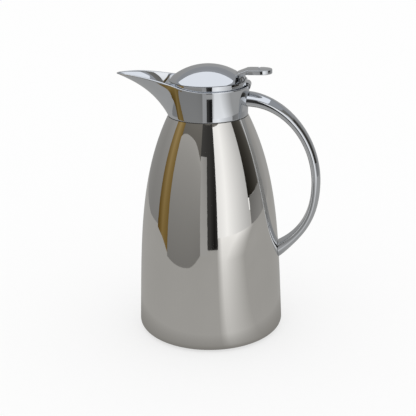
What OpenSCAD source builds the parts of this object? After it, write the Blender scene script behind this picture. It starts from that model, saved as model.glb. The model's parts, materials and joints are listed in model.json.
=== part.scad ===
// Vacuum coffee jug with a hinged dome lid, a drawn spout and a loop handle.
// The origin is on the jug's axis at the surface it stands on.
// +Z is up, +X points to the handle and -X to the spout.

/* [Casing] */
// Largest radius of the casing, just above its bottom corner
base_r = 67.5; // [60:0.5:75]
// Height of the seam between the casing and the collar
seam_z = 203; // [195:1:215]
// Even taper of the casing over its whole height
taper = 8.4; // [6:0.2:9]
// Extra narrowing of the casing towards the shoulder
shoulder = 23.4; // [22:0.2:24]
// How late the shoulder starts to close in
shoulder_power = 3.8; // [3:0.1:4.5]
// Thickness of the casing's steel
casing_wall = 0.8; // [0.6:0.1:1]
// Rounding of the casing's bottom corner
corner_r = 5.3; // [4:0.1:7]

/* [Collar and spout] */
// Height of the collar's rim above the base at the sides and the back
rim_z = 230.2; // [228:0.2:232]
// Rise of the rim from the collar to the spout
rim_rise = 9.6; // [7:0.2:11]
// Reach of the spout's tip from the jug's axis
spout_reach = 83; // [76:0.5:88]
// How blunt the spout's tip is
spout_blunt = 7.6; // [6:0.2:9]
// How fast the spout opens towards the collar
spout_open = 0.06; // [0.04:0.01:0.08]
// How full the spout's sides stay below its rim
spout_full = 3; // [2.4:0.2:3.4]
// Thickness of the collar's wall
collar_wall = 1.3; // [1.2:0.1:1.4]
// How far the collar's rim flares
flare = 1.7; // [1.6:0.1:2]

/* [Lid] */
// Radius of the dome at its base
dome_r = 34; // [33:0.2:34.6]
// Height of the dome above its base
dome_h = 12.8; // [11:0.2:14]
// Angle that the lid turns through until the thumb plate nears the handle
lid_open = 40; // [20:1:40]
// Angle that the lid is drawn at
lid_angle = 0; // [0:1:40]

/* [Thumb lever] */
// Width of the thumb plate
thumb_w = 19; // [16:0.5:20]
// Thickness of the thumb plate
thumb_t = 3.8; // [3:0.1:4]
// Distance from the jug's axis to the end of the thumb plate
thumb_reach = 56.8; // [52:0.2:57]

/* [Handle] */
// Width of the handle where it leaves the collar
handle_root_w = 21; // [18:0.5:24]
// Width of the handle at its grip
handle_grip_w = 15; // [13:0.5:17]
// Depth of the handle at its grip
handle_grip_t = 8.1; // [7.5:0.1:8.5]

/* [Flask] */
// Thickness of the flask's glass
glass_t = 1.6; // [1.2:0.1:2]
// Gap across the flask's vacuum
vacuum_gap = 3.4; // [3:0.1:4]

/* [Hidden] */
$fn = 96;
eps = 0.01;

// Casing profile
foot_h = 0.8;
corner_z = foot_h + corner_r;
casing_steps = 26;
neck_r = 34.1;
neck_top = 210;
neck_turn = 1.2;
flange_in_r = 57;

// Collar and spout
seam_h = 0.5;
collar_z = seam_z + seam_h;
collar_step = 0.1;
collar_r = base_r - taper - shoulder - collar_step;
rise_start = 4;
rise_length = 78;
keel_slope = 26;
keel_power = 3.3;
keel_swell = spout_reach - collar_r - keel_slope;
blend_power = 12;
nose_full = 50;
nose_gone = 95;
spout_inset = 1.8;
spout_narrow = 1.5;
collar_rings = 16;
collar_sides = 72;

// Seat ring and hinge
seat_r = 35;
seat_bore_r = 30;
seat_skirt_r = 33.9;
seat_bottom = 224;
seat_step = 229.6;
seat_top = 234.5;
seat_front = 35.3;
seat_front_half = 17.6;
seat_front_t = 1.7;
ear_z = 231;
ear_back = 3;
ear_front = 1;
knuckle_clear = 0.4;
side_clear = 0.3;
hinge_x = 30.2;
hinge_z = 235.8;
barrel_r = 2.85;
pin_r = 1.25;
pin_clear = 0.05;
ear_in = 4;
ear_out = 6.8;
lug_x = 34.7;
lug_z = 229.6;
lug_r = 3.5;
rim_clear = 0.2;
rim_groove_r = 37.5;
groove_clear = 0.05;

// Lid
dome_z = seat_top + side_clear;
dome_wall = 1;
dome_sphere_r = (dome_r * dome_r + dome_h * dome_h) / (2 * dome_h);
dome_centre_z = dome_z + dome_h - dome_sphere_r;
dome_back = 26;
plate_t = 2;
plate_r = 29.8;
knuckle_w = 2 * (ear_in - side_clear);
knuckle_drop = 0.2;
thumb_z = 243.9;
arm_w = 17;
arm_z = 238.7;
arm_top = 240.4;
arm_x = 28.4;
arm_rise = [31, 0.6];
arm_plate_x = 36;
arm_crest = 35;
lever_screw_y = 4;
lever_screw_head = [1, 1.4];
lever_screw_r = 0.6;
lever_screw_l = 4.4;

// Plug
plug_r = 27;
plug_top_z = 226;
plug_low_r = 23;
plug_low_z = 214;
plug_shelf_z = 210;
nose_r = 17;
nose_tip_r = 13;
nose_tip_z = 201;
seal_r = 22.3;
seal_z = 207.8;
plug_screw_r = 1.8;
plug_screw_l = 20;
plug_screw_head = [4, 1.6];
plug_bore_z = 209;
thread_bite = 0.1;

// Flask
mouth_z = 206;
flask_bottom = 14;
flask_corner_r = 16;
flask_r = 60;
flask_taper = 7;
flask_neck_r = 27;
flask_power = 5;
flask_steps = 24;
flask_neck_z = 196;
pad_r = 4;
pad_x = 30;
lip_t = 2;
tip_z = 9.5;
tip_end_r = 1.6;
tip_root_r = 3;
gasket_in_r = 20.6;
gasket_out_r = 26.5;
gasket_clear = 0.3;

// Pouring funnel
funnel_lip_r = 27.4;
funnel_wall = 1.4;
funnel_z = 203;
funnel_lip_z = 208.6;
funnel_skirt_z = 207;
funnel_foot_r = 33.1;
funnel_edge_r = 33.95;
funnel_top_r = 33;
funnel_top_z = 213;

// Base
cap_r = 56.4;
cap_floor = 5;
cap_top = 8;
cap_fit = 0.2;
cap_skirt = 2.5;
base_top = 12;
base_ring_r = 61.2;
cup_in_r = 44.5;
cup_out_r = 47;
grip_slot = [20, 8, 1.4];
grip_slot_x = 22;
foot_in_r = 57.4;
foot_out_r = 61;
cushion_in_r = 24;
cushion_out_r = 43;

// Handle
handle_rings = 40;
handle_sides = 28;
handle_foot_w = 16;
grip_x = 97.1;
grip_z = 140;
root_x = 33;
root_z = 218;
foot_x = 58;
foot_z = 72.3;
root_gap = 0.35;
foot_gap = 0.1;
screw_r = 1.9;
root_screw_z = 217;
root_screw_y = 5;
root_screw_head = [2.8, 1.8];
root_screw_l = 9;
root_screw_seat = 0.6;
foot_screw_head = [3.2, 1.6];
foot_screw_l = 11;
foot_screw_z = 78;
foot_plate_w = 14;
foot_plate_h = 18;
foot_plate_t = 2;

// Casing radius at a height above the bottom corner
function casing_t(z) = (z - corner_z) / (seam_z - corner_z);
function casing_r(z) = base_r - taper * casing_t(z) - shoulder * pow(max(casing_t(z), 0), shoulder_power);

// Outline of the casing's outer face, from the bottom flange to the seam, drawn in by a wall
function casing_face(inset) = concat(
    [for (a = [0 : 10 : 80]) [base_r - corner_r + (corner_r - inset) * sin(a),
                              corner_z - (corner_r - inset) * cos(a)]],
    [for (i = [0 : casing_steps]) let (z = corner_z + (seam_z - corner_z) * i / casing_steps)
        [casing_r(z) - inset, z]]);

// Where the washer behind the handle foot starts
foot_plate_x = casing_r(foot_screw_z) - casing_wall - foot_plate_t;

function reversed(list) = [for (i = [len(list) - 1 : -1 : 0]) list[i]];

// Flask wall profile, drawn in by an inset
function flask_wall(inset) = concat(
    [[0, flask_bottom + inset]],
    [for (a = [0 : 10 : 90]) [flask_r - flask_corner_r + (flask_corner_r - inset) * sin(a),
                              flask_bottom + flask_corner_r - (flask_corner_r - inset) * cos(a)]],
    [for (i = [1 : flask_steps])
        let (t = i / flask_steps)
        let (low = flask_bottom + flask_corner_r)
        [flask_r - flask_taper * t - (flask_r - flask_taper - flask_neck_r) * pow(t, flask_power) - inset,
         low + (flask_neck_z - low) * t]]);

// Height of the collar's rim over a point at distance x towards the spout
function rim_height(x) = rim_z + rim_rise * (1 - cos(180 * min(max((x + rise_start) / rise_length, 0), 1))) / 2;

// Radius of the collar's round part, and reach of the spout's keel, at a share t of the height
function round_r(t) = collar_r + flare * pow(t, 5);
function keel_r(t) = collar_r + keel_slope * t + keel_swell * pow(t, keel_power);

// Distance from the axis to the spout's curved outline in the direction a
function nose_ray(a, reach, blunt) =
    let (b = (blunt + 2 * spout_open * reach) * cos(a))
    let (c = blunt * reach + spout_open * reach * reach)
    let (d = pow(sin(a), 2) - spout_open * pow(cos(a), 2))
    2 * c / (b + sqrt(max(b * b + 4 * d * c, 0)));

// Share of the spout that is left in the direction a
function nose_fade(a) =
    let (s = min(max((nose_gone - a) / (nose_gone - nose_full), 0), 1))
    s * s * (3 - 2 * s);

// Collar outline at the height share t and the direction a, measured from the spout
function collar_ray(a, t, inset, nose_inset, blunt) =
    let (r = round_r(t) - inset)
    let (k = max(keel_r(t) - nose_inset, r))
    let (reach = pow(max(pow(k / r, blend_power) - 1, 0), 1 / blend_power) * r)
    let (full = blunt * (1 + spout_full * (1 - t)))
    let (n = reach > 0.1 && a < nose_gone ? nose_ray(a, reach, full) * nose_fade(a) : 0)
    r * pow(1 + pow(n / r, blend_power), 1 / blend_power);

// One ring of points round the collar, with its height following the rim
function collar_ring(t, inset, nose_inset, blunt) = [
    for (i = [0 : collar_sides - 1])
        let (a = 360 * i / collar_sides)
        let (off = a > 180 ? 360 - a : a)
        let (r = collar_ray(off, t, inset, nose_inset, blunt))
        let (edge = collar_ray(off, 1, 0, 0, spout_blunt))
        [-r * cos(a), r * sin(a), collar_z + t * (rim_height(edge * cos(off)) - collar_z)]];

// Handle line: two Bezier curves that meet at the grip's outermost point
function bezier(p, t) = pow(1 - t, 3) * p[0] + 3 * pow(1 - t, 2) * t * p[1]
                      + 3 * (1 - t) * t * t * p[2] + pow(t, 3) * p[3];
upper_line = [[root_x, root_z], [66.5, 217.5], [grip_x, 183.5], [grip_x, grip_z]];
lower_line = [[grip_x, grip_z], [grip_x, 109.5], [86.5, 90], [foot_x, foot_z]];
function handle_point(s) = s < 1 ? bezier(upper_line, s) : bezier(lower_line, s - 1);
function handle_way(s) =
    let (v = handle_point(min(s + 0.01, 2)) - handle_point(max(s - 0.01, 0)))
    v / norm(v);
handle_depths = [[0, 12.8], [0.25, 10], [0.5, 8.5], [0.8, 8.2], [1, handle_grip_t],
                 [1.15, 7.7], [1.3, 7.5], [1.55, 7.6], [1.75, 8.6], [1.88, 11.2], [2, 15.5]];
handle_widths = [[0, handle_root_w], [0.3, 17.5], [0.6, 15.6], [1, handle_grip_w],
                 [1.6, handle_grip_w], [2, handle_foot_w]];

// Section of the handle: boxed towards the jug, crowned on the outside
function crown(u, p) = sign(u) * pow(abs(u), p);
function handle_ring(s) =
    let (c = handle_point(s))
    let (w = handle_way(s))
    let (t = lookup(s, handle_depths) / 2)
    let (b = lookup(s, handle_widths) / 2)
    [for (i = [0 : handle_sides - 1])
        let (a = 360 * i / handle_sides)
        let (boxed = sin(a) < 0 ? 0.4 : 0.85)
        let (n = t * crown(sin(a), boxed))
        [c[0] - w[1] * n, b * crown(cos(a), boxed), c[1] + w[0] * n]];

// Solid between stacked rings of points, closed at both ends
module stacked(rings) {
    n = len(rings[0]);
    last = (len(rings) - 1) * n;
    polyhedron(points = [for (ring = rings) each ring],
               faces = concat(
                   [[for (i = [0 : n - 1]) i]],
                   [for (k = [0 : len(rings) - 2]) for (i = [0 : n - 1])
                       let (j = (i + 1) % n)
                       [k * n + i, (k + 1) * n + i, (k + 1) * n + j, k * n + j]],
                   [[for (i = [n - 1 : -1 : 0]) last + i]]));
}

// Solid whose stacked rings run up one face and back down the other
module looped(rings) {
    n = len(rings[0]);
    m = len(rings);
    polyhedron(points = [for (ring = rings) each ring],
               faces = [for (k = [0 : m - 1]) for (i = [0 : n - 1])
                   let (j = (i + 1) % n)
                   let (u = (k + 1) % m)
                   [k * n + i, u * n + i, u * n + j, k * n + j]]);
}

// Ring with a square section
module band(r_in, r_out, low, high) {
    translate([0, 0, low]) difference() {
        cylinder(r = r_out, h = high - low);
        translate([0, 0, -1]) cylinder(r = r_in, h = high - low + 2);
    }
}

// Cylinder across the jug, centred on the handle's plane
module across(x, z, r, w) {
    translate([x, 0, z]) rotate([90, 0, 0]) cylinder(r = r, h = w, center = true);
}

// Everything that turns with the lid
module lid_turn() {
    translate([hinge_x, 0, hinge_z]) rotate([0, min(lid_angle, lid_open), 0])
        translate([-hinge_x, 0, -hinge_z]) children();
}

// Solid that fills the casing's outside, grown by a gap
module casing_envelope(gap) {
    rotate_extrude($fn = 240) polygon(concat([[0, foot_h - 1]], casing_face(-gap), [[0, seam_z]]));
}

module casing() {
    color("gainsboro") rotate_extrude() polygon(concat(
        [[flange_in_r, foot_h + casing_wall], [flange_in_r, foot_h]],
        casing_face(0),
        [[neck_r, seam_z], [neck_r, neck_top], [neck_r - casing_wall, neck_top],
         [neck_r - casing_wall, seam_z - neck_turn]],
        reversed(casing_face(casing_wall))));
}

module base_ring() {
    color("dimgray") band(cap_r + cap_fit, base_ring_r, foot_h + casing_wall, base_top);
}

module base_cap() {
    color("dimgray") difference() {
        union() {
            translate([0, 0, cap_floor]) cylinder(r = cap_r, h = cap_top - cap_floor);
            band(cap_r - cap_skirt, cap_r, foot_h + casing_wall, base_top);
            band(cup_in_r, cup_out_r, cap_top, base_top);
        }
        for (side = [-1, 1]) translate([side * grip_slot_x, 0, cap_floor])
            cube([grip_slot[0], grip_slot[1], 2 * grip_slot[2]], center = true);
    }
}

module foot_ring() {
    color("black") band(foot_in_r, foot_out_r, 0, foot_h);
}

module flask_cushion() {
    color("black") band(cushion_in_r, cushion_out_r, cap_top, flask_bottom);
}

module flask_outer() {
    color("lightsteelblue") rotate_extrude() polygon(concat(
        flask_wall(0), [[flask_neck_r, mouth_z - lip_t], [flask_neck_r - glass_t, mouth_z - lip_t]],
        reversed(flask_wall(glass_t))));
}

module flask_inner() {
    deep = glass_t + vacuum_gap;
    color("lightsteelblue") rotate_extrude() polygon(concat(
        flask_wall(deep),
        [[flask_neck_r - deep, mouth_z - lip_t], [flask_neck_r, mouth_z - lip_t], [flask_neck_r, mouth_z],
         [flask_neck_r - deep - glass_t, mouth_z]],
        reversed(flask_wall(deep + glass_t))));
}

module flask_tip() {
    color("lightsteelblue") translate([0, 0, tip_z])
        cylinder(r1 = tip_end_r, r2 = tip_root_r, h = flask_bottom - tip_z);
}

module flask_pads() {
    color("tan") for (a = [0 : 120 : 240]) rotate([0, 0, a])
        translate([pad_x, 0, flask_bottom + glass_t]) cylinder(r = pad_r, h = vacuum_gap);
}

module neck_gasket() {
    color("whitesmoke") band(gasket_in_r, gasket_out_r, mouth_z, seal_z - gasket_clear);
}

module pour_funnel() {
    outer = funnel_lip_r + funnel_wall;
    color("dimgray") rotate_extrude() polygon([
        [funnel_lip_r, funnel_z], [outer, funnel_z], [outer, funnel_skirt_z], [funnel_foot_r, neck_top],
        [funnel_edge_r, neck_top], [funnel_edge_r, funnel_top_z], [funnel_top_r, funnel_top_z],
        [funnel_lip_r, funnel_lip_z]]);
}

module seam_ring() {
    color("black") band(neck_r + groove_clear, collar_r - side_clear, seam_z, collar_z);
}

module collar() {
    shares = [for (k = [0 : collar_rings]) k / collar_rings];
    outer = [for (t = shares) collar_ring(t, 0, 0, spout_blunt)];
    inner = [for (t = reversed(shares))
        collar_ring(t, collar_wall, spout_inset, spout_blunt - spout_narrow)];
    color("silver") looped(concat(outer, inner));
}

module handle() {
    color("silver") difference() {
        stacked([for (k = [0 : handle_rings]) handle_ring(2 * k / handle_rings)]);
        translate([0, 0, seam_z]) cylinder(r = collar_r + root_gap, h = rim_z - seam_z);
        casing_envelope(foot_gap);
    }
}

// Screw along Z, head first; the head is its radius and its height
module screw(head, shank_r, length) {
    cylinder(r = head[0], h = head[1]);
    translate([0, 0, head[1] - eps]) cylinder(r = shank_r, h = length + eps);
}

module handle_root_screws() {
    head_x = collar_r - collar_wall - root_screw_head[1] - root_screw_seat;
    color("gray") for (side = [-1, 1]) translate([head_x, side * root_screw_y, root_screw_z])
        rotate([0, 90, 0]) screw(root_screw_head, screw_r, root_screw_l);
}

module handle_foot_plate() {
    color("gray") intersection() {
        translate([foot_plate_x, -foot_plate_w / 2, foot_screw_z - foot_plate_h / 2])
            cube([3 * foot_plate_t, foot_plate_w, foot_plate_h]);
        casing_envelope(-casing_wall);
    }
}

module handle_foot_screw() {
    color("gray") translate([foot_plate_x - foot_screw_head[1], 0, foot_screw_z]) rotate([0, 90, 0])
        screw(foot_screw_head, screw_r, foot_screw_l);
}

// One hinge ear on its post, centred on its own width
module hinge_ear() {
    ear_w = ear_out - ear_in;
    across(hinge_x, hinge_z, barrel_r, ear_w);
    translate([hinge_x - ear_front, -ear_w / 2, ear_z])
        cube([ear_front + ear_back, ear_w, hinge_z - ear_z]);
}

// Bridge that closes the spout's root in front of the seat
module seat_bridge() {
    difference() {
        translate([-seat_front, -seat_front_half, seat_top - seat_front_t])
            cube([seat_front, 2 * seat_front_half, seat_front_t]);
        cylinder(r = seat_bore_r, h = seat_top + 1);
    }
}

// Space for the collar's rim under the hinge lug
module rim_groove() {
    difference() {
        band(seat_skirt_r + groove_clear, rim_groove_r, seat_bottom - 1, rim_z + rim_clear);
        translate([-2 * seat_r, -seat_r, seat_bottom]) cube([2 * seat_r + lug_x - 2, 2 * seat_r, seat_r]);
    }
}

module seat_ring() {
    color("silver") difference() {
        union() {
            band(seat_bore_r, seat_skirt_r, seat_bottom, seat_step + eps);
            band(seat_bore_r, seat_r, seat_step, seat_top);
            seat_bridge();
            across(lug_x, lug_z, lug_r, 2 * ear_out);
            for (side = [-1, 1]) translate([0, side * (ear_in + ear_out) / 2, 0]) hinge_ear();
        }
        rim_groove();
        across(hinge_x, hinge_z, barrel_r + knuckle_clear, 2 * ear_in);
        translate([hinge_x - 2 * barrel_r, -ear_in, hinge_z]) cube([2 * barrel_r, 2 * ear_in, 2 * barrel_r]);
        across(hinge_x, hinge_z, pin_r + pin_clear, 3 * ear_out);
    }
}

module hinge_pin() {
    color("silver") across(hinge_x, hinge_z, pin_r, 2 * ear_out);
}

module dome_cap(inset) {
    intersection() {
        translate([0, 0, dome_centre_z]) sphere(r = dome_sphere_r - inset, $fn = 192);
        translate([-dome_r, -dome_r, dome_z]) cube([dome_r + dome_back, 2 * dome_r, dome_r]);
    }
}

module dome() {
    color("silver") lid_turn() union() {
        difference() {
            dome_cap(0);
            translate([0, 0, dome_centre_z]) sphere(r = dome_sphere_r - dome_wall, $fn = 192);
        }
        intersection() {
            dome_cap(dome_wall / 2);
            translate([dome_back - dome_wall, -dome_r, dome_z]) cube([dome_wall, 2 * dome_r, dome_r]);
        }
    }
}

module lid_plate() {
    color("dimgray") lid_turn() intersection() {
        band(plug_screw_r + thread_bite, plate_r, dome_z, dome_z + plate_t);
        translate([-dome_r, -dome_r, dome_z]) cube([dome_r + dome_back - dome_wall, 2 * dome_r, dome_r]);
    }
}

module knuckle() {
    color("silver") lid_turn() difference() {
        union() {
            across(hinge_x, hinge_z, barrel_r, knuckle_w);
            translate([dome_back, -knuckle_w / 2, hinge_z - knuckle_drop])
                cube([hinge_x - dome_back, knuckle_w, arm_z - hinge_z + knuckle_drop]);
        }
        across(hinge_x, hinge_z, pin_r + pin_clear, 3 * ear_out);
    }
}

module thumb_lever() {
    low = thumb_z - thumb_t;
    round_x = thumb_reach - thumb_w / 2;
    color("silver") lid_turn() union() {
        translate([0, arm_w / 2, 0]) rotate([90, 0, 0]) linear_extrude(height = arm_w)
            polygon([[dome_back, arm_z], [arm_x, arm_z], [arm_rise[0], low - arm_rise[1]],
                     [arm_plate_x, low], [arm_plate_x + thumb_t, low], [arm_plate_x + thumb_t, thumb_z],
                     [arm_crest, thumb_z], [dome_back, arm_top]]);
        translate([0, 0, low]) linear_extrude(height = thumb_t) union() {
            translate([arm_plate_x, -thumb_w / 2]) square([round_x - arm_plate_x, thumb_w]);
            translate([round_x, 0]) circle(r = thumb_w / 2);
        }
    }
}

module lever_screws() {
    head_x = dome_back - dome_wall - lever_screw_head[1];
    color("gray") lid_turn() for (side = [-1, 1])
        translate([head_x, side * lever_screw_y, (arm_z + arm_top) / 2]) rotate([0, 90, 0])
            screw(lever_screw_head, lever_screw_r, lever_screw_l);
}

module plug() {
    bore_r = plug_screw_r - thread_bite;
    color("dimgray") lid_turn() rotate_extrude() polygon([
        [0, nose_tip_z], [nose_tip_r, nose_tip_z], [nose_r, seal_z - side_clear], [nose_r, plug_shelf_z],
        [plug_low_r, plug_shelf_z], [plug_low_r, plug_low_z], [plug_r, plug_top_z], [plug_r, dome_z],
        [bore_r, dome_z], [bore_r, plug_bore_z], [0, plug_bore_z]]);
}

module plug_seal() {
    color("whitesmoke") lid_turn() band(nose_r, seal_r, seal_z, plug_shelf_z);
}

module plug_screw() {
    color("gray") lid_turn() translate([0, 0, dome_z + plate_t + plug_screw_head[1]]) rotate([180, 0, 0])
        screw(plug_screw_head, plug_screw_r, plug_screw_l);
}

casing();
base_ring();
base_cap();
foot_ring();
flask_cushion();
flask_outer();
flask_inner();
flask_tip();
flask_pads();
neck_gasket();
pour_funnel();
seam_ring();
collar();
handle();
handle_root_screws();
handle_foot_screw();
handle_foot_plate();
seat_ring();
hinge_pin();
dome();
lid_plate();
knuckle();
thumb_lever();
lever_screws();
plug();
plug_seal();
plug_screw();
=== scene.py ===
"""A polished vacuum coffee pot: bell-shaped casing, collar with a drawn spout, loop handle, domed lid."""
import json
import math

import bmesh
import bpy
import numpy as np
from mathutils import Matrix, Vector


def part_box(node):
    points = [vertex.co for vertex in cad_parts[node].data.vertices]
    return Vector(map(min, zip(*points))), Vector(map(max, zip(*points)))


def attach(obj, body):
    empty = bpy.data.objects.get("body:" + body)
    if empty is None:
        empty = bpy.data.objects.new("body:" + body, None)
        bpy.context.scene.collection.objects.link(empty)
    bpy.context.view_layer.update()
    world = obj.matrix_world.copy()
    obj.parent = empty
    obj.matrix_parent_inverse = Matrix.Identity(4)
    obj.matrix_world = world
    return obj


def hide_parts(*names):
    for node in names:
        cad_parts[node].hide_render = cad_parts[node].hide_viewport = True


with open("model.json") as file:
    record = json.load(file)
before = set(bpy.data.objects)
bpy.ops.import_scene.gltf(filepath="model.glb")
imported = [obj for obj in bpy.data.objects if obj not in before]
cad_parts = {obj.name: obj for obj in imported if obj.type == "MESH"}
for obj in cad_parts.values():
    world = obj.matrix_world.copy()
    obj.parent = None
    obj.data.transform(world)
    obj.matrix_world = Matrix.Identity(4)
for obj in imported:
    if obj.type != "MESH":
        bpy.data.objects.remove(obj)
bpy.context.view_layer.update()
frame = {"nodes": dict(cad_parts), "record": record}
scene = bpy.context.scene

JUG = "jug"
LID = "lid"

# ---------------------------------------------------------------- camera

EYE = Vector((0.0937, -0.7743, 0.3964))
LOOK = Vector((-0.1146, 0.9332, -0.3405)).normalized()
LEVEL = Vector((0.99255, 0.12187, 0.0))
ROLL = math.radians(0.877)
LENS = 77.62


def place_camera():
    """A long lens, a little above the pot, rolled by under a degree."""
    up = LEVEL.cross(LOOK)
    right = math.cos(ROLL) * LEVEL - math.sin(ROLL) * up
    top = math.sin(ROLL) * LEVEL + math.cos(ROLL) * up
    data = bpy.data.cameras.new("camera")
    data.sensor_width = 36.0
    data.lens = LENS
    data.clip_start = 0.01
    data.clip_end = 50.0
    camera = bpy.data.objects.new("camera", data)
    turn = Matrix((right, top, -LOOK)).transposed()
    camera.matrix_world = Matrix.Translation(EYE) @ turn.to_4x4()
    scene.collection.objects.link(camera)
    scene.camera = camera


# ---------------------------------------------------------------- node graphs


class Graph:
    """A node tree whose nodes are added by kind, settings and inputs."""

    def __init__(self, tree):
        self.tree = tree

    def add(self, kind, settings=None, inputs=None):
        node = self.tree.nodes.new(kind)
        for key, value in (settings or {}).items():
            if key == "stops":
                marks = node.color_ramp.elements
                while len(marks) < len(value):
                    marks.new(0.5)
                for mark, (place, shade) in zip(marks, value):
                    mark.position = place
                    mark.color = shade
            else:
                setattr(node, key, value)
        for key, value in (inputs or {}).items():
            if isinstance(value, Flow):
                self.tree.links.new(value.socket, node.inputs[key])
            else:
                node.inputs[key].default_value = value
        return node

    def out(self, kind, settings=None, inputs=None, socket=0):
        return Flow(self, self.add(kind, settings, inputs).outputs[socket])

    def mix(self, share, first, second):
        """Blends two colours by a share."""
        return self.out("ShaderNodeMix", {"data_type": "RGBA"}, {0: share, 6: first, 7: second}, 2)


class Flow:
    """A node's output that adds a Math node for each sum written with it."""

    def __init__(self, graph, socket):
        self.graph = graph
        self.socket = socket

    def math(self, operation, *others, clamp=False):
        values = dict(enumerate((self,) + others))
        return self.graph.out("ShaderNodeMath", {"operation": operation, "use_clamp": clamp}, values)

    def flipped(self, operation, other):
        return self.graph.out("ShaderNodeMath", {"operation": operation}, {0: other, 1: self})

    def __add__(self, other):
        return self.math("ADD", other)

    __radd__ = __add__

    def __sub__(self, other):
        return self.math("SUBTRACT", other)

    def __rsub__(self, other):
        return self.flipped("SUBTRACT", other)

    def __mul__(self, other):
        return self.math("MULTIPLY", other)

    __rmul__ = __mul__

    def __truediv__(self, other):
        return self.math("DIVIDE", other)

    def __rtruediv__(self, other):
        return self.flipped("DIVIDE", other)

    def __pow__(self, other):
        return self.math("POWER", other)

    def held(self):
        """Kept between 0 and 1."""
        return self.math("ADD", 0.0, clamp=True)


# ---------------------------------------------------------------- finishes


def blank_material(name):
    material = bpy.data.materials.new(name)
    material.use_nodes = True
    material.node_tree.nodes.clear()
    return material, Graph(material.node_tree)


def finish_named(name):
    material, graph = blank_material(name)
    place = graph.out("ShaderNodeTexCoord", socket="Object")
    return material, graph, place


def noise(graph, place, scale, detail=4.0, roughness=0.5, stretch=None):
    if stretch:
        place = graph.out("ShaderNodeMapping", {}, {"Vector": place, "Scale": stretch})
    return graph.out("ShaderNodeTexNoise", {}, {
        "Vector": place, "Scale": scale, "Detail": detail, "Roughness": roughness}, "Fac")


def close(material, graph, base, rough, relief, strength, depth, fixed):
    """Ends a material: base colour, roughness and relief vary, and the fixed values are set once."""
    bump = graph.out("ShaderNodeBump", {}, {"Strength": strength, "Distance": depth, "Height": relief})
    inputs = {"Base Color": base, "Roughness": rough, "Normal": bump}
    inputs.update(fixed)
    shader = graph.out("ShaderNodeBsdfPrincipled", {}, inputs)
    graph.add("ShaderNodeOutputMaterial", {}, {"Surface": shader})
    return material


def mirror_metal(name, light, dark, gloss, haze, streak):
    """Polished metal: faint polishing streaks, a slow unevenness and patches of haze."""
    material, graph, place = finish_named(name)
    patches = noise(graph, place, 22.0, 3.0)
    lines = noise(graph, place, 90.0, 2.0, 0.6, stretch=(6.0, 6.0, 0.5))
    swell = noise(graph, place, 30.0, 1.0, 0.4, stretch=(1.0, 1.0, 0.35))
    base = graph.mix((patches * 0.7 + lines * 0.3).held(), dark, light)
    rough = gloss + haze * patches + haze * 0.5 * lines
    relief = swell * (1.0 - streak) + lines * streak
    return close(material, graph, base, rough, relief, 0.05, 0.0006, {"Metallic": 1.0})


def moulded_plastic():
    """Dark satin plastic with a fine moulded grain."""
    material, graph, place = finish_named("dark moulded plastic")
    grain = noise(graph, place, 900.0, 3.0)
    patches = noise(graph, place, 40.0)
    base = graph.mix(patches, (0.045, 0.045, 0.05, 1.0), (0.075, 0.075, 0.08, 1.0))
    return close(material, graph, base, 0.38 + 0.12 * patches, grain, 0.25, 0.0002, {})


def matte_rubber():
    """Black rubber with a dusty, dimpled skin."""
    material, graph, place = finish_named("black rubber")
    skin = noise(graph, place, 600.0, 4.0, 0.6)
    dust = noise(graph, place, 60.0, 5.0, 0.65)
    base = graph.mix(dust, (0.018, 0.018, 0.018, 1.0), (0.045, 0.044, 0.042, 1.0))
    return close(material, graph, base, 0.62 + 0.2 * dust, skin, 0.3, 0.0002, {})


def silvered_glass():
    """Glass with a silver coat that clouds in patches."""
    material, graph, place = finish_named("silvered glass")
    cloud = noise(graph, place, 35.0, 5.0, 0.6)
    wave = noise(graph, place, 18.0, 1.0)
    base = graph.mix(cloud, (0.74, 0.75, 0.74, 1.0), (0.86, 0.87, 0.87, 1.0))
    fixed = {"Metallic": 0.85, "Coat Weight": 1.0, "Coat Roughness": 0.02}
    return close(material, graph, base, 0.06 + 0.1 * cloud, wave, 0.1, 0.001, fixed)


def pressed_felt():
    """Tan felt with a fibrous surface."""
    material, graph, place = finish_named("tan felt")
    fibre = noise(graph, place, 1500.0, 6.0, 0.7)
    patch = noise(graph, place, 200.0)
    base = graph.mix(patch, (0.42, 0.36, 0.26, 1.0), (0.62, 0.55, 0.42, 1.0))
    return close(material, graph, base, 0.85 + 0.1 * patch, fibre, 0.6, 0.0004, {"Sheen Weight": 0.3})


def pale_silicone():
    """Milky silicone, a little uneven and cloudy."""
    material, graph, place = finish_named("pale silicone")
    cloud = noise(graph, place, 80.0, 4.0)
    skin = noise(graph, place, 500.0, 2.0)
    base = graph.mix(cloud, (0.66, 0.66, 0.63, 1.0), (0.80, 0.80, 0.77, 1.0))
    return close(material, graph, base, 0.35 + 0.15 * cloud, skin, 0.15, 0.0002, {})


def turned_steel():
    """Bright screw steel with turning marks."""
    material, graph, place = finish_named("turned steel")
    marks = noise(graph, place, 1200.0, 2.0, 0.5, stretch=(1.0, 1.0, 0.2))
    patch = noise(graph, place, 150.0)
    base = graph.mix(patch, (0.50, 0.50, 0.50, 1.0), (0.66, 0.66, 0.65, 1.0))
    return close(material, graph, base, 0.22 + 0.15 * patch, marks, 0.2, 0.0001, {"Metallic": 1.0})


FINISH = {
    "polished_steel": mirror_metal("polished steel", (0.83, 0.815, 0.79, 1.0), (0.78, 0.77, 0.745, 1.0),
                                   0.018, 0.018, 0.14),
    "chrome_plate": mirror_metal("chrome plate", (0.74, 0.765, 0.80, 1.0), (0.69, 0.715, 0.75, 1.0),
                                 0.015, 0.015, 0.15),
    "grey_plastic": moulded_plastic(),
    "foot_rubber": matte_rubber(),
    "silvered_glass": silvered_glass(),
    "pad_felt": pressed_felt(),
    "clear_silicone": pale_silicone(),
    "screw_steel": turned_steel(),
}


# ---------------------------------------------------------------- mesh helpers


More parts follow.
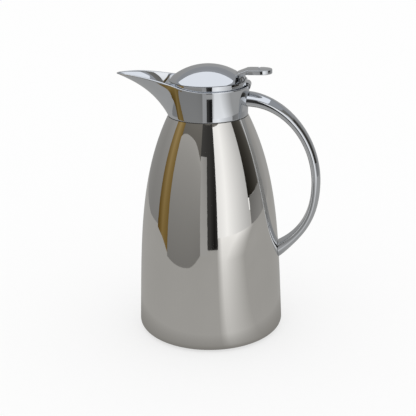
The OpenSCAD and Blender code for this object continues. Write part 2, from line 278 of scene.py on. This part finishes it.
def new_piece(name, points, faces, slot, body, stands_for, sharp=35.0):
    """Makes a closed, smooth-shaded piece, gives it its finish and its body, and hides the node it stands for."""
    mesh = bpy.data.meshes.new(name)
    mesh.from_pydata([tuple(p) for p in points], [], [tuple(f) for f in faces])
    mesh.validate()
    return settle(name, mesh, slot, body, stands_for, sharp)


def settle(name, mesh, slot, body, stands_for, sharp=35.0, turn=True):
    if turn:
        work = bmesh.new()
        work.from_mesh(mesh)
        bmesh.ops.remove_doubles(work, verts=work.verts, dist=1e-7)
        bmesh.ops.recalc_face_normals(work, faces=work.faces)
        work.to_mesh(mesh)
        work.free()
    mesh.shade_smooth()
    mesh.set_sharp_from_angle(angle=math.radians(sharp))
    mesh.materials.clear()
    mesh.materials.append(FINISH[slot])
    piece = bpy.data.objects.new(name, mesh)
    scene.collection.objects.link(piece)
    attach(piece, body)
    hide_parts(*stands_for)
    return piece


def looped_faces(rings, sides, closed):
    """Quads between rings of points that follow each other, back to the first ring where it is closed."""
    last = rings if closed else rings - 1
    return [(k * sides + i, k * sides + (i + 1) % sides,
             (k + 1) % rings * sides + (i + 1) % sides, (k + 1) % rings * sides + i)
            for k in range(last) for i in range(sides)]


def baked(name, mesh, modifiers):
    """The mesh that a stack of modifiers gives, with the modifiers gone."""
    holder = bpy.data.objects.new(name, mesh)
    scene.collection.objects.link(holder)
    for kind, settings in modifiers:
        modifier = holder.modifiers.new(kind.lower(), kind)
        for key, value in settings.items():
            setattr(modifier, key, value)
    graph = bpy.context.evaluated_depsgraph_get()
    done = bpy.data.meshes.new_from_object(holder.evaluated_get(graph))
    bpy.data.objects.remove(holder)
    return done


def softened(node, slot, body, width, sharp=35.0):
    """A copy of a node's solid with its hard edges rounded off."""
    mesh = frame["nodes"][node].data.copy()
    work = bmesh.new()
    work.from_mesh(mesh)
    bmesh.ops.remove_doubles(work, verts=work.verts, dist=2e-6)
    bmesh.ops.dissolve_limit(work, angle_limit=math.radians(0.3), verts=work.verts, edges=work.edges)
    work.to_mesh(mesh)
    work.free()
    if mesh.has_custom_normals:
        mesh.attributes.remove(mesh.attributes["custom_normal"])
    done = baked(node, mesh, [("BEVEL", {
        "width": width, "segments": 3, "limit_method": "ANGLE", "angle_limit": math.radians(30.0),
        "harden_normals": False, "use_clamp_overlap": True})])
    work = bmesh.new()
    work.from_mesh(done)
    bmesh.ops.remove_doubles(work, verts=work.verts, dist=1e-6)
    bmesh.ops.dissolve_degenerate(work, edges=work.edges, dist=1e-6)
    work.to_mesh(done)
    work.free()
    return settle(node + "_soft", done, slot, body, [node], sharp, turn=False)


# ---------------------------------------------------------------- casing

BASE_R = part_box("casing")[1].x
NECK_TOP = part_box("casing")[1].z
FOOT_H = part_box("casing")[0].z
CORNER_R = 0.0053
CORNER_Z = FOOT_H + CORNER_R
SEAM_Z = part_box("seam_ring")[0].z
TAPER = 0.0084
SHOULDER = 0.0234
SHOULDER_POWER = 3.8
CASING_WALL = 0.0008
FLANGE_R = 0.057
NECK_R = 0.0341


def casing_r(z):
    share = np.clip((np.asarray(z) - CORNER_Z) / (SEAM_Z - CORNER_Z), 0.0, 1.0)
    return BASE_R - TAPER * share - SHOULDER * share ** SHOULDER_POWER


CASING_SIZES = {
    "Base Radius": BASE_R, "Taper": TAPER, "Shoulder": SHOULDER, "Shoulder Power": SHOULDER_POWER,
    "Corner Radius": CORNER_R, "Corner Height": CORNER_Z, "Seam Height": SEAM_Z,
    "Flange Radius": FLANGE_R, "Neck Radius": NECK_R, "Neck Top": NECK_TOP,
}


def casing_tree():
    """Bends a flat grid into the casing: flange, rounded corner, tapering wall with a shoulder, neck."""
    tree = bpy.data.node_groups.new("bell casing", "GeometryNodeTree")
    tree.interface.new_socket("Geometry", in_out="OUTPUT", socket_type="NodeSocketGeometry")
    for name, value in CASING_SIZES.items():
        socket = tree.interface.new_socket(name, in_out="INPUT", socket_type="NodeSocketFloat")
        socket.default_value = value
    finish = tree.interface.new_socket("Finish", in_out="INPUT", socket_type="NodeSocketMaterial")
    finish.default_value = FINISH["polished_steel"]
    graph = Graph(tree)
    given = graph.add("NodeGroupInput")
    size = {name: Flow(graph, given.outputs[name]) for name in CASING_SIZES}
    grid = graph.add("GeometryNodeMeshGrid", {}, {
        "Size X": 1.0, "Size Y": 1.0, "Vertices X": 241, "Vertices Y": 181})
    place = graph.out("GeometryNodeInputPosition")
    apart = graph.add("ShaderNodeSeparateXYZ", {}, {0: place})
    turn = (Flow(graph, apart.outputs["X"]) + 0.5) * (2.0 * math.pi)
    along = Flow(graph, apart.outputs["Y"]) + 0.5

    def stretch(start, end):
        return ((along - start) / (end - start)).held()

    flange, corner, wall = stretch(0.0, 0.03), stretch(0.03, 0.12), stretch(0.12, 0.9)
    step, neck = stretch(0.9, 0.93), stretch(0.93, 1.0)
    quarter = corner * (math.pi / 2.0)
    corner_r = size["Corner Radius"]
    flange_out = size["Base Radius"] - corner_r
    seam_r = size["Base Radius"] - size["Taper"] - size["Shoulder"]
    radius = (size["Flange Radius"] + (flange_out - size["Flange Radius"]) * flange
              + corner_r * quarter.math("SINE")
              - size["Taper"] * wall - size["Shoulder"] * wall ** size["Shoulder Power"]
              - (seam_r - size["Neck Radius"]) * step)
    height = (size["Corner Height"] - corner_r * quarter.math("COSINE")
              + (size["Seam Height"] - size["Corner Height"]) * wall
              + (size["Neck Top"] - size["Seam Height"]) * neck)
    spot = graph.out("ShaderNodeCombineXYZ", {}, {
        "X": radius * turn.math("COSINE"), "Y": radius * turn.math("SINE"), "Z": height})
    bent = graph.out("GeometryNodeSetPosition", {}, {
        "Geometry": Flow(graph, grid.outputs["Mesh"]), "Position": spot})
    joined = graph.out("GeometryNodeMergeByDistance", {}, {"Geometry": bent, "Distance": 1e-6})
    real = graph.out("GeometryNodeRealizeInstances", {}, {"Geometry": joined})
    coated = graph.out("GeometryNodeSetMaterial", {}, {
        "Geometry": real, "Material": Flow(graph, given.outputs["Finish"])})
    graph.add("NodeGroupOutput", {}, {"Geometry": coated})
    return tree


def grown(name, tree, values):
    """The plain mesh that a geometry tree gives for these input values."""
    holder = bpy.data.objects.new(name, bpy.data.meshes.new(name))
    scene.collection.objects.link(holder)
    modifier = holder.modifiers.new(name, "NODES")
    modifier.node_group = tree
    for item in tree.interface.items_tree:
        if item.in_out == "INPUT" and item.name in values:
            modifier[item.identifier] = values[item.name]
    graph = bpy.context.evaluated_depsgraph_get()
    mesh = bpy.data.meshes.new_from_object(holder.evaluated_get(graph))
    holder.modifiers.remove(modifier)
    bpy.data.objects.remove(holder)
    return mesh


def make_casing():
    skin = grown("bell_casing", casing_tree(), CASING_SIZES)
    work = bmesh.new()
    work.from_mesh(skin)
    bmesh.ops.recalc_face_normals(work, faces=work.faces)
    probe = max(work.faces, key=lambda face: face.calc_center_median().x)
    if probe.normal.x < 0.0:
        bmesh.ops.reverse_faces(work, faces=work.faces)
    work.to_mesh(skin)
    work.free()
    walled = baked("bell_casing", skin, [("SOLIDIFY", {
        "thickness": CASING_WALL, "offset": -1.0, "use_even_offset": True})])
    return settle("bell_casing", walled, "polished_steel", JUG, ["casing"], 40.0, turn=False)


# ---------------------------------------------------------------- collar and spout

COLLAR_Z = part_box("collar")[0].z
SEAM_STEP = 0.0001
COLLAR_R = BASE_R - TAPER - SHOULDER - SEAM_STEP
COLLAR_WALL = 0.0013
FLARE = 0.0017
FLARE_POWER = 2.0
RIM_Z = 0.2302
RIM_RISE = 0.0096
RISE_START = 0.004
RISE_LENGTH = 0.078
SPOUT_REACH = -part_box("collar")[0].x
KEEL_SLOPE = 0.026
KEEL_POWER = 3.3
BLEND_POWER = 12.0
NOSE_FULL = 50.0
NOSE_GONE = 95.0
SPOUT_BLUNT = 0.0076
SPOUT_OPEN = 0.06
SPOUT_FULL = 3.0
SPOUT_INSET = 0.0018
SPOUT_NARROW = 0.0015
RIM_ROLL = 0.0007
FOOT_ROLL = 0.0003
COLLAR_ROWS = 56


def rim_height(x):
    share = np.clip((x + RISE_START) / RISE_LENGTH, 0.0, 1.0)
    return RIM_Z + RIM_RISE * (1.0 - np.cos(np.pi * share)) / 2.0


def collar_ray(off, share, inset, nose_inset, blunt):
    """Distance from the axis to the collar's outline, at an angle off the spout and a share of the height."""
    round_r = COLLAR_R + FLARE * share ** FLARE_POWER - inset
    swell = SPOUT_REACH - COLLAR_R - KEEL_SLOPE
    keel = COLLAR_R + KEEL_SLOPE * share + swell * share ** KEEL_POWER - nose_inset
    keel = np.maximum(keel, round_r)
    reach = np.maximum((keel / round_r) ** BLEND_POWER - 1.0, 0.0) ** (1.0 / BLEND_POWER) * round_r
    angle = np.radians(off)
    blunt = blunt * (1.0 + SPOUT_FULL * (1.0 - share))
    slope = (blunt + 2.0 * SPOUT_OPEN * reach) * np.cos(angle)
    size = blunt * reach + SPOUT_OPEN * reach ** 2
    bend = np.sin(angle) ** 2 - SPOUT_OPEN * np.cos(angle) ** 2
    below = slope + np.sqrt(np.maximum(slope ** 2 + 4.0 * bend * size, 0.0))
    nose = np.where((reach > 1e-4) & (off < NOSE_GONE), 2.0 * size / np.maximum(below, 1e-9), 0.0)
    fade = np.clip((NOSE_GONE - off) / (NOSE_GONE - NOSE_FULL), 0.0, 1.0)
    nose = nose * fade * fade * (3.0 - 2.0 * fade)
    return round_r * (1.0 + (nose / round_r) ** BLEND_POWER) ** (1.0 / BLEND_POWER)


def collar_directions():
    """Angles off the spout, close together near its tip."""
    half = 180.0 * np.linspace(0.0, 1.0, 121) ** 1.45
    return np.concatenate([half, 360.0 - half[1:-1][::-1]])


def make_collar():
    turn = collar_directions()
    off = np.where(turn > 180.0, 360.0 - turn, turn)
    edge = collar_ray(off, 1.0, 0.0, 0.0, SPOUT_BLUNT)
    top = rim_height(edge * np.cos(np.radians(off)))
    tall = top - COLLAR_Z

    def ring(share, inner):
        insets = (COLLAR_WALL, SPOUT_INSET, SPOUT_BLUNT - SPOUT_NARROW) if inner else (0.0, 0.0, SPOUT_BLUNT)
        reach = collar_ray(off, share, *insets)
        return reach, COLLAR_Z + share * tall

    def roll(outer, inner, depth, upward):
        """Rounds the edge between an outer and an inner point of every direction."""
        steps = np.linspace(0.0, np.pi, 9)[1:-1]
        middle = (outer[0] + inner[0]) / 2.0
        half = (outer[0] - inner[0]) / 2.0
        return [(middle + half * np.cos(s), outer[1] + upward * depth * np.sin(s)) for s in steps]

    near_top = 1.0 - RIM_ROLL / tall
    low = FOOT_ROLL / tall
    shares = [low + (near_top - low) * k / COLLAR_ROWS for k in range(COLLAR_ROWS + 1)]
    outer = [ring(s, False) for s in shares]
    inner = [ring(s, True) for s in shares[::-1]]
    rows = outer + roll(outer[-1], inner[0], RIM_ROLL, 1.0) + inner
    rows += roll(outer[0], inner[-1], FOOT_ROLL, -1.0)[::-1]
    angle = np.radians(turn)
    points = [np.stack([-r * np.cos(angle), r * np.sin(angle), z], axis=1) for r, z in rows]
    faces = looped_faces(len(rows), len(turn), True)
    return new_piece("spouted_collar", np.concatenate(points), faces, "chrome_plate", JUG, ["collar"], 50.0)


# ---------------------------------------------------------------- handle

GRIP_X = 0.0971
GRIP_Z = 0.140
UPPER_LINE = np.array([[0.033, 0.218], [0.0665, 0.2175], [GRIP_X, 0.1835], [GRIP_X, GRIP_Z]])
LOWER_LINE = np.array([[GRIP_X, GRIP_Z], [GRIP_X, 0.1095], [0.0865, 0.090], [0.058, 0.0723]])
DEPTHS = ([0.0, 0.25, 0.5, 0.8, 1.0, 1.15, 1.3, 1.55, 1.75, 1.88, 2.0],
          [0.0128, 0.010, 0.0085, 0.0082, 0.0081, 0.0077, 0.0075, 0.0076, 0.0086, 0.0112, 0.0155])
WIDTHS = ([0.0, 0.3, 0.6, 1.0, 1.6, 2.0], [0.021, 0.0175, 0.0156, 0.015, 0.015, 0.016])
HANDLE_ROWS = 150
HANDLE_SIDES = 72
HALF_WAY = 800        # fine steps along each half of the handle, for the trimming
HANDLE_GAP = 0.0001
ROOT_GAP = 0.00035
SECTION_HALF = (7.5, 4.05)     # millimetres across and out, where the section is measured


def bezier(line, t):
    t = np.asarray(t)[..., None]
    return ((1 - t) ** 3 * line[0] + 3 * (1 - t) ** 2 * t * line[1]
            + 3 * (1 - t) * t * t * line[2] + t ** 3 * line[3])


def handle_line(s):
    s = np.asarray(s, float)
    return np.where((s < 1.0)[..., None], bezier(UPPER_LINE, np.clip(s, 0, 1)),
                    bezier(LOWER_LINE, np.clip(s - 1.0, 0, 1)))


def eased(s, table):
    """Values between the stops of a table, joined by smooth steps and softened once."""
    spread = np.linspace(-0.12, 0.12, 9)
    return np.mean([np.interp(np.clip(s + d, 0.0, 2.0), table[0], table[1]) for d in spread], axis=0)


def handle_section(count):
    """Outline across the handle, from -1 to 1 each way: a low crown outside, an edge, and a boxed inner side."""
    crown = [(x, 1.0 - 0.9 * x ** 2.4) for x in np.linspace(0.0, 0.93, 16)]
    side = [(0.975, 0.1), (0.995, -0.06), (1.0, -0.2), (0.985, -0.4),
            (0.945, -0.6), (0.88, -0.79), (0.78, -0.92), (0.66, -0.985)]
    base = [(x, -1.0) for x in np.linspace(0.52, 0.0, 5)]
    half = np.array(crown + side + base)
    whole = np.vstack([half, half[1:-1][::-1] * (-1.0, 1.0)])
    ahead = np.vstack([whole, whole[:1]]) * SECTION_HALF
    length = np.concatenate([[0.0], np.cumsum(np.linalg.norm(np.diff(ahead, axis=0), axis=1))])
    stations = np.linspace(0.0, length[-1], count, endpoint=False)
    return tuple(np.interp(stations, length, ahead[:, k]) / SECTION_HALF[k] for k in (0, 1))


def handle_points(s, across, out):
    middle = handle_line(s)
    step = 0.004
    way = handle_line(np.minimum(s + step, 2.0)) - handle_line(np.maximum(s - step, 0.0))
    way = way / np.linalg.norm(way, axis=-1, keepdims=True)
    depth = eased(s, DEPTHS) / 2.0 * out
    wide = eased(s, WIDTHS) / 2.0 * across
    return np.stack([middle[..., 0] - way[..., 1] * depth, wide, middle[..., 1] + way[..., 0] * depth], axis=-1)


def make_handle():
    """Sweeps the section along the line, and trims both ends where they meet the collar and the casing."""
    across, out = handle_section(HANDLE_SIDES)
    fine = np.linspace(0.0, 2.0, 2 * HALF_WAY + 1)
    grid = handle_points(fine[:, None], across[None, :], out[None, :])
    around = np.hypot(grid[..., 0], grid[..., 1])
    from_collar = around - (COLLAR_R + ROOT_GAP)
    from_casing = around - (casing_r(grid[..., 2]) + HANDLE_GAP)
    starts, ends = [], []
    for i in range(HANDLE_SIDES):
        inside = np.nonzero(from_collar[:HALF_WAY, i] < 0.0)[0]
        starts.append(fine[inside[-1] + 1])
        outside = np.nonzero(from_casing[HALF_WAY:, i] < 0.0)[0]
        ends.append(fine[HALF_WAY + outside[0] - 1])
    starts, ends = np.array(starts), np.array(ends)
    rows = [handle_points(starts + (ends - starts) * k / HANDLE_ROWS, across, out) for k in range(HANDLE_ROWS + 1)]
    points = np.concatenate(rows)
    faces = looped_faces(HANDLE_ROWS + 1, HANDLE_SIDES, False)
    for row in (0, HANDLE_ROWS):
        points = np.vstack([points, rows[row].mean(axis=0)])
        hub = len(points) - 1
        faces += [(hub, row * HANDLE_SIDES + i, row * HANDLE_SIDES + (i + 1) % HANDLE_SIDES)
                  for i in range(HANDLE_SIDES)]
    return new_piece("loop_handle", points, faces, "chrome_plate", JUG, ["handle"], 40.0)


# ---------------------------------------------------------------- studio

MIRROR = 0.8          # share of light that the metals send back
CEILING_Z = 1.5
LIGHT_Z = 1.14
TABLE_R = 1.4
TABLE_SIDES = 96
WORLD_LIGHT = 1.08


def lit(shade, warmth=0):
    """Radiance that polished metal sends back as this grey, made warmer or cooler."""
    def line(v):
        v = v / 255.0
        return (v / 12.92 if v <= 0.04045 else ((v + 0.055) / 1.055) ** 2.4) / MIRROR
    return (line(shade + warmth / 2.0), line(shade), line(shade - warmth), 1.0)


def glowing(material, graph, tone):
    """Ends a material that only gives off a colour."""
    glow = graph.out("ShaderNodeEmission", {}, {"Color": tone})
    graph.add("ShaderNodeOutputMaterial", {}, {"Surface": glow})
    material.cycles.emission_sampling = "NONE"
    return material


def glow_paper():
    """Emission from a colour held at each corner of a card."""
    material, graph = blank_material("lit card")
    tone = graph.out("ShaderNodeVertexColor", {"layer_name": "tone"})
    return glowing(material, graph, tone)


CARD = glow_paper()


def only_in_mirrors(thing):
    """Keeps a stage piece out of the view and off the floor, so it shows only in polished metal."""
    thing.visible_camera = False
    thing.visible_diffuse = False
    thing.visible_transmission = False
    thing.visible_volume_scatter = False
    thing.visible_shadow = False


def stage_mesh(name, points, faces, tones=None, material=None):
    mesh = bpy.data.meshes.new(name)
    mesh.from_pydata(points, [], faces)
    if tones:
        layer = mesh.color_attributes.new("tone", "FLOAT_COLOR", "POINT")
        layer.data.foreach_set("color", np.array(tones, np.float32).ravel())
    mesh.materials.append(material or CARD)
    thing = bpy.data.objects.new(name, mesh)
    scene.collection.objects.link(thing)
    return thing


def card(name, low, high, stations, warmth=1):
    """A standing card. Each station has its bearing from the camera side, its distance, and its grey at the
    foot and at the top."""
    points, tones = [], []
    for first, second in zip(stations[:-1], stations[1:]):
        count = max(int(abs(second[0] - first[0]) / 3.0), 1)
        for k in range(count + (second is stations[-1])):
            bearing, away, foot, top = [a + (b - a) * k / count for a, b in zip(first, second)]
            turn = math.radians(bearing)
            for height, shade in ((low, foot), (high, top)):
                points.append((away * math.sin(turn), -away * math.cos(turn), height))
                tones.append(lit(shade, warmth))
    faces = [(2 * k, 2 * k + 2, 2 * k + 3, 2 * k + 1) for k in range(len(points) // 2 - 1)]
    only_in_mirrors(stage_mesh(name, points, faces, tones))


def round_card():
    """A grey card in front on the left, with a rounded top, which bends away at its right end."""
    points, tones = [], []
    bearings = np.linspace(-62.0, -8.0, 40)
    for bearing in bearings:
        away = 0.335 / math.cos(math.radians(bearing + 38.0)) + 0.075 * max(0.0, (bearing + 26.0) / 18.0) ** 2
        rise = max(1.0 - abs((bearing + 38.0) / 31.0) ** 3.0, 0.0) ** 0.5
        turn = math.radians(bearing)
        for height, shade in ((0.0, 110), (0.27, 140), (0.27 + 0.08 * rise, 150)):
            points.append((away * math.sin(turn), -away * math.cos(turn), height))
            tones.append(lit(shade, 2))
    faces = [(3 * k + j, 3 * k + j + 3, 3 * k + j + 4, 3 * k + j + 1)
             for k in range(len(bearings) - 1) for j in (0, 1)]
    only_in_mirrors(stage_mesh("round_card", points, faces, tones))


def make_cards():
    """Plain cards round the pot: a bright panel, dark flags, grey cards and one gold reflector."""
    card("bright_panel", 0.0, 0.72, ((19, 0.75, 220, 230), (35, 0.75, 240, 240), (77, 0.75, 170, 180)), 0)
    card("pale_card", 0.0, 0.34, ((-9.5, 0.46, 150, 150), (3, 0.46, 150, 130)))
    card("dark_flag", 0.0, 0.58, ((-9.5, 0.53, 60, 60), (7, 0.53, 50, 50), (14, 0.53, 20, 50), (19, 0.53, 40, 50)))
    card("gold_reflector", 0.0, 0.5, ((-87, 0.56, 60, 100), (-75, 0.5, 100, 130), (-60, 0.37, 80, 90)), 40)
    card("left_card", 0.0, 0.6, ((-180, 0.7, 140, 150), (-110, 0.56, 120, 140), (-85, 0.6, 120, 150)))
    card("right_flag", 0.115, 0.64, ((76.5, 0.76, 20, 50), (90, 0.76, 40, 60), (106, 0.76, 70, 80)), 4)
    card("right_foot", 0.0, 0.115, ((79, 0.75, 110, 100), (106, 0.75, 130, 120)))
    card("right_card", 0.0, 0.64, ((106, 0.76, 120, 130), (140, 0.8, 150, 150), (180, 0.8, 150, 150)))
    card("upper_flag", 0.3, 1.5, ((-85, 1.35, 80, 110), (104, 1.35, 70, 110)), 4)
    card("upper_card", 0.3, 1.5, ((104, 1.35, 140, 140), (275, 1.35, 140, 140)), -2)
    round_card()


def make_ceiling():
    """A grey ceiling with one large soft light under it."""
    ceiling = [(x, y, CEILING_Z) for x, y in ((-1.5, -1.5), (1.5, -1.5), (1.5, 1.5), (-1.5, 1.5))]
    only_in_mirrors(stage_mesh("ceiling", ceiling, [(3, 2, 1, 0)], [lit(145, -3)] * 4))
    light = [(x, y, LIGHT_Z) for x, y in ((-0.9, -0.55), (0.6, -0.55), (0.6, 0.7), (-0.9, 0.7))]
    only_in_mirrors(stage_mesh("soft_light", light, [(3, 2, 1, 0)], [lit(230, -4)] * 4))


def make_table():
    """The tabletop as polished metal sees it: warm grey, with the bright panel's painted sheen across it and a
    painted contact shadow round the pot.
    """
    material, graph = blank_material("table sheen")
    place = graph.out("ShaderNodeTexCoord", socket="Object")
    apart = graph.add("ShaderNodeSeparateXYZ", {}, {0: place})
    x, y = Flow(graph, apart.outputs["X"]), Flow(graph, apart.outputs["Y"])
    bearing = x.math("ARCTAN2", y * -1.0) * (180.0 / math.pi)
    far = (x * x + y * y).math("SQRT")
    beyond = ((far - 0.4) / 0.35).held()
    rise = ((bearing - 17.0) / 8.0).held()
    fall = ((60.0 + beyond * 25.0 - bearing) / 30.0).held()
    gather = (far / 0.45).held() ** 0.6
    sheen = (rise * fall * gather).held()
    plain = graph.mix(noise(graph, place, 3.0, 3.0), lit(145, 2), lit(155, 2))
    shade = graph.mix(sheen, plain, graph.mix(beyond, lit(215, 1), lit(230, 1)))
    # Painted contact shadow: the tabletop turns dark grey under the pot and fades back to its plain tone by 11 cm
    # from the axis.
    shade = graph.mix(((far - 0.06) / 0.05).held(), lit(115, 3), shade)
    glowing(material, graph, shade)
    around = [2.0 * math.pi * i / TABLE_SIDES for i in range(TABLE_SIDES)]
    points = [(TABLE_R * math.cos(a), TABLE_R * math.sin(a), -0.0005) for a in around]
    only_in_mirrors(stage_mesh("table_sheen", points, [tuple(range(TABLE_SIDES))], None, material))


def make_floor():
    """A plain white floor that carries a faint contact shadow."""
    material, graph = blank_material("white floor")
    plain = graph.out("ShaderNodeBsdfDiffuse", {}, {"Color": (0.9, 0.9, 0.9, 1.0)})
    glow = graph.out("ShaderNodeEmission", {}, {"Color": (1.0, 1.0, 1.0, 1.0), "Strength": 1.0})
    mixed = graph.out("ShaderNodeMixShader", {}, {0: 0.62, 1: plain, 2: glow})
    graph.add("ShaderNodeOutputMaterial", {}, {"Surface": mixed})
    material.cycles.emission_sampling = "NONE"
    corners = [(-6.0, -6.0, -0.0002), (6.0, -6.0, -0.0002), (6.0, 6.0, -0.0002), (-6.0, 6.0, -0.0002)]
    floor = stage_mesh("floor", corners, [(0, 1, 2, 3)], None, material)
    floor.visible_glossy = False


def make_studio():
    scene.view_settings.view_transform = "Standard"
    world = bpy.data.worlds.new("white studio")
    world.use_nodes = True
    world.node_tree.nodes["Background"].inputs["Color"].default_value = (1.0, 1.0, 1.0, 1.0)
    world.node_tree.nodes["Background"].inputs["Strength"].default_value = WORLD_LIGHT
    scene.world = world
    make_floor()
    make_table()
    make_cards()
    make_ceiling()


# ---------------------------------------------------------------- assembly

place_camera()
SLOT_OF = {part["node"]: part["material_slot"] for part in frame["record"]["subparts"]}
for node, thing in frame["nodes"].items():
    thing.data.materials.clear()
    thing.data.materials.append(FINISH[SLOT_OF[node]])

make_casing()
make_collar()
make_handle()
softened("seat_ring", "chrome_plate", JUG, 0.0003)
softened("thumb_lever", "chrome_plate", LID, 0.0005)
softened("knuckle", "chrome_plate", LID, 0.0003)
softened("hinge_pin", "screw_steel", JUG, 0.0002)
softened("dome", "chrome_plate", LID, 0.0004)

make_studio()
